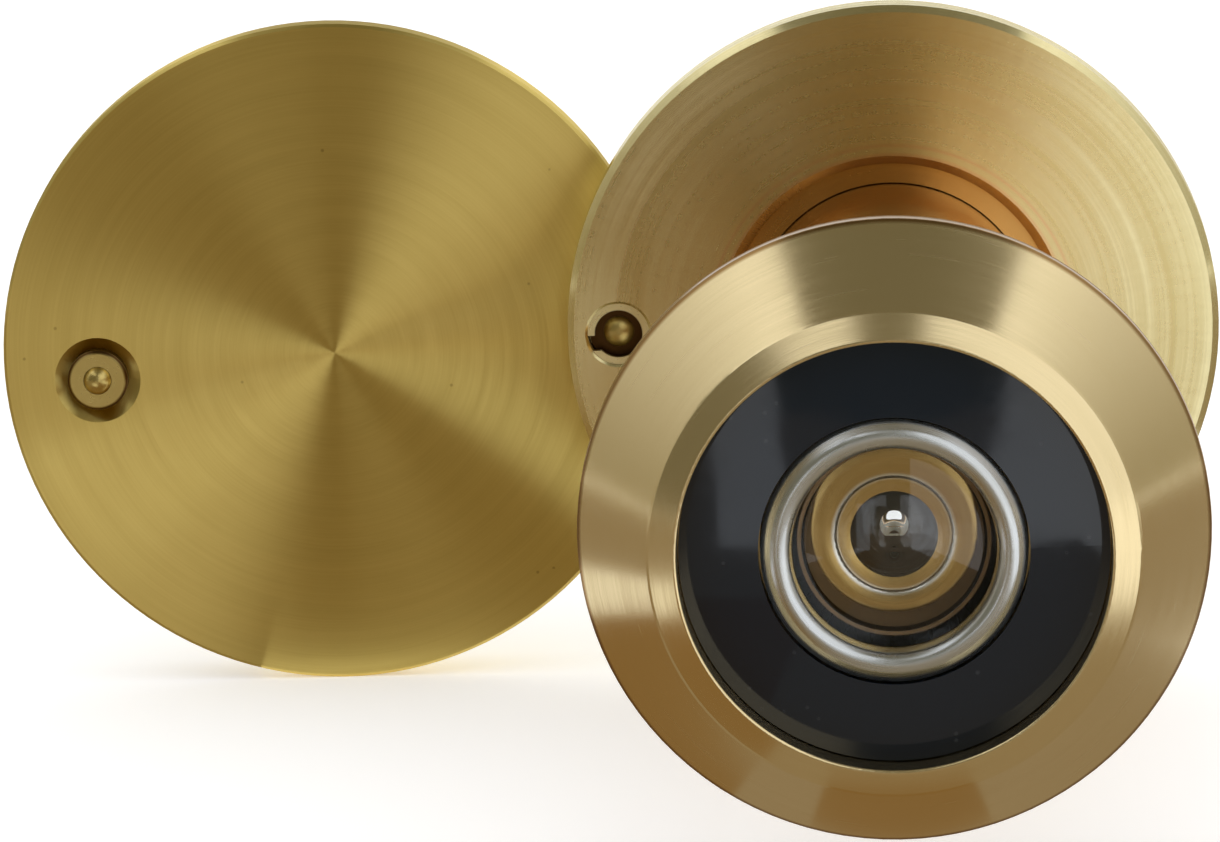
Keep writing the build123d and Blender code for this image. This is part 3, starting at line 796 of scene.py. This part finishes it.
class VIEWER_OT_ball_plunger(Operator):
    """Plunger body, ball and spring in the cover"""

    bl_idname = "viewer.ball_plunger"
    bl_label = "Ball Plunger"

    def execute(self, context):
        brass = context.scene.viewer_brass
        centre = middle("plunger_body")
        # Painted shade: a dark ring in the gap round the plunger's body
        dress(turned_metal("Plunger brass", brass.plunger_color, 0.3, centre, SMALL_SPACING,
                           SMALL_DEPTH, rings=((PLUNGER_GAP_SHADE, brass.gap_shade_color),)),
              "plunger_body", "detent_ball")
        dress(turned_metal("Plunger spring steel", brass.steel_color, 0.3, centre, SMALL_SPACING,
                           SLIGHT_DEPTH), "plunger_spring")
        return {"FINISHED"}


# Studio


def stage_mesh(name, points, faces, material):
    """Mesh object that is part of the studio."""
    mesh = bpy.data.meshes.new(name)
    mesh.from_pydata(points, [], faces)
    mesh.materials.append(material)
    made = add_object(name, mesh)
    return made


def reflected_card(name, points, faces, material):
    """Card that shapes what the metal shows, and neither shades nor hides anything."""
    card = stage_mesh(name, points, faces, material)
    card.visible_camera = False
    card.visible_diffuse = False
    card.visible_shadow = False
    card.visible_volume_scatter = False


def glow(name, color, top_color=None):
    """Material of a card with one even colour, or with one that changes up to the curtains' top."""
    material = bpy.data.materials.new(name)
    material.use_nodes = True
    tree = material.node_tree
    tree.nodes.clear()
    shade = tuple(color)
    if top_color is not None:
        place = split(tree, place_on_object(tree))
        shade = blend_colors(tree, spread(tree, place["Z"], 0.0, CURTAIN_TOP), shade, top_color)
    light = put(tree, "ShaderNodeEmission", (("Color", shade), ("Strength", 1.0)))
    output = tree.nodes.new("ShaderNodeOutputMaterial")
    tree.links.new(light.outputs[0], output.inputs["Surface"])
    return material


def arch(name, sections, material):
    """Card bent over the object from front to back.

    Each section is (degrees, (left, right)), the sides as shares of the distance.
    """
    points = []
    for degrees, sides in sections:
        turn = math.radians(degrees)
        for side in sides:
            points.append((FAR * side, -FAR * math.cos(turn), FAR * math.sin(turn)))
    faces = [(2 * i, 2 * i + 1, 2 * i + 3, 2 * i + 2) for i in range(len(sections) - 1)]
    reflected_card(name, points, faces, material)


def screen(name, angles, top, material):
    """Upright card bent round the object; angles are degrees from the camera's side towards +X."""
    points = []
    for degrees in angles:
        turn = math.radians(degrees)
        for height in (CAD_BOX[0].z, top):
            points.append((FAR * math.sin(turn), -FAR * math.cos(turn), height))
    faces = [(2 * i, 2 * i + 2, 2 * i + 3, 2 * i + 1) for i in range(len(angles) - 1)]
    reflected_card(name, points, faces, material)


def upright_card(name, start, end, low, high, material):
    """Flat card over the line between two floor points (x, y), from the height low to high."""
    points = [(*start, low), (*end, low), (*end, high), (*start, high)]
    reflected_card(name, points, [(0, 1, 2, 3)], material)


def floor_cloth(name, pieces, material, lift):
    """Cloth on the floor; each piece is four corners (x, y), counter-clockwise from above."""
    low = CAD_BOX[0].z + lift
    points = [(x, y, low) for corners in pieces for x, y in corners]
    faces = [tuple(range(4 * i, 4 * i + 4)) for i in range(len(pieces))]
    reflected_card(name, points, faces, material)


def build_floor(studio):
    """Pale floor that keeps the object's shadow and is white to the camera and in reflections."""
    material, tree, shader = new_material("Pale floor")
    grain = noise(tree, place_on_object(tree), 60.0, 3.0)
    feed(tree, shader["Base Color"],
         blend_colors(tree, spread(tree, grain, *WIDE_SPAN, 0.0, 0.03), tuple(studio.floor_color),
                      tuple(studio.grain_color)))
    shader["Roughness"].default_value = FLOOR_ROUGHNESS
    shader["Specular IOR Level"].default_value = 0.1
    feed(tree, shader["Emission Color"], WHITE)
    path = tree.nodes.new("ShaderNodeLightPath").outputs
    seen = calc(tree, "ADD", path["Is Camera Ray"], path["Is Glossy Ray"])
    seen = calc(tree, "ADD", seen, path["Is Transmission Ray"], clamp=True)
    feed(tree, shader["Emission Strength"], calc(tree, "MULTIPLY", seen, studio.floor_lift))
    corners = ((-1, -1), (1, -1), (1, 1), (-1, 1))
    stage_mesh("floor", [(FLOOR_SIDE * x, FLOOR_SIDE * y, CAD_BOX[0].z) for x, y in corners],
               [(0, 1, 2, 3)], material)


def build_tent(scene, studio):
    """Even white light from all round."""
    world = bpy.data.worlds.new("Tent")
    world.use_nodes = True
    background = world.node_tree.nodes["Background"]
    feed(world.node_tree, background.inputs["Color"], WHITE)
    background.inputs["Strength"].default_value = studio.world_strength
    scene.world = world


def build_cards(studio):
    """Cards, curtains, papers and cloths that the metal reflects; one card and one floor sheet
    carry painted shade.
    """
    card = glow("Dark card", studio.card_color)
    curtain = glow("Side curtain", studio.curtain_color, CURTAIN_TOP_COLOR)
    paper = glow("White paper", WHITE)
    warm_shade = glow("Warm shade", studio.warm_color)
    cloth = glow("Dark cloth", studio.cloth_color)
    shade = glow("Painted floor shade", studio.shade_color)
    sections = [(a, NARROW_STRIP) for a in range(-2, 62, 4)]
    sections += [(a, WIDE_STRIP) for a in range(62, 142, 4)]
    arch("overhead_card", sections, card)
    for side, name in ((1, "right_curtain"), (-1, "left_curtain")):
        screen(name, [side * a for a in range(70, 160, 5)], CURTAIN_TOP, curtain)
    screen("left_screen", SCREEN_ANGLES, SCREEN_TOP, card)
    upright_card("ring_paper", *RING_PAPER, paper)
    upright_card("plate_paper", *PLATE_PAPER, paper)
    upright_card("cover_paper", *COVER_PAPER, paper)
    # Painted shade between flange and plate, on a card seen only in reflections
    upright_card("cover_shade_card", *COVER_SHADE_CARD, warm_shade)
    floor_cloth("under_paper", UNDER_PAPER, paper, PAPER_LIFT)
    floor_cloth("front_cloth", FRONT_CLOTH, cloth, CLOTH_LIFT)
    floor_cloth("side_cloth", SIDE_CLOTH, cloth, CLOTH_LIFT)
    floor_cloth("edge_paper", EDGE_PAPER, paper, PAPER_LIFT)
    # Painted shade: the floor in the object's own shadow, on a sheet seen only in reflections
    floor_cloth("floor_shade_sheet", FLOOR_SHADE_SHEET, shade, SHADE_LIFT)


def place_camera(scene, studio):
    """Long lens a little above the viewer axis, outside the door."""
    right = Vector(CAMERA_RIGHT).normalized()
    up = Vector(CAMERA_UP)
    back = right.cross(up).normalized()
    up = back.cross(right)
    data = bpy.data.cameras.new("Camera")
    data.lens = studio.lens
    data.sensor_width = SENSOR_WIDTH
    camera = add_object("Camera", data)
    place = Matrix((right, up, back)).transposed().to_4x4()
    place.translation = Vector(CAMERA_PLACE)
    camera.matrix_world = place
    scene.camera = camera


class VIEWER_OT_stage(Operator):
    """Floor, tent light, cards and camera"""

    bl_idname = "viewer.stage"
    bl_label = "Stage"

    def execute(self, context):
        scene = context.scene
        studio = scene.viewer_studio
        build_floor(studio)
        build_tent(scene, studio)
        build_cards(studio)
        place_camera(scene, studio)
        scene.view_settings.view_transform = "Standard"
        return {"FINISHED"}


OPERATORS = (
    VIEWER_OT_stage,
    VIEWER_OT_outer_flange,
    VIEWER_OT_trim_ring,
    VIEWER_OT_lens_bezel,
    VIEWER_OT_lens_stack,
    VIEWER_OT_inner_barrel,
    VIEWER_OT_base_plate,
    VIEWER_OT_pivot_fittings,
    VIEWER_OT_privacy_cover,
    VIEWER_OT_ball_plunger,
)


class VIEWER_PT_dressing(Panel):
    """Lists the settings and the steps"""

    bl_idname = "VIEWER_PT_dressing"
    bl_label = "Door Viewer"
    bl_space_type = "VIEW_3D"
    bl_region_type = "UI"
    bl_category = "Door Viewer"

    def draw(self, context):
        for operator in OPERATORS:
            self.layout.operator(operator.bl_idname)
        for name, group in SETTINGS:
            box = self.layout.box()
            for key in group.__annotations__:
                box.prop(getattr(context.scene, name), key)


CLASSES = (ViewerBrass, ViewerOptics, ViewerStudio, *OPERATORS, VIEWER_PT_dressing)


def register():
    """Registers the classes and hangs the settings on the scene."""
    for cls in CLASSES:
        bpy.utils.register_class(cls)
    for name, group in SETTINGS:
        setattr(bpy.types.Scene, name, PointerProperty(type=group))


def unregister():
    """Takes the settings and classes away."""
    for name, _ in SETTINGS:
        delattr(bpy.types.Scene, name)
    for cls in reversed(CLASSES):
        bpy.utils.unregister_class(cls)


def main():
    register()
    for operator in OPERATORS:
        family, name = operator.bl_idname.split(".")
        getattr(getattr(bpy.ops, family), name)()
    bpy.context.view_layer.update()


if __name__ == "__main__":
    main()
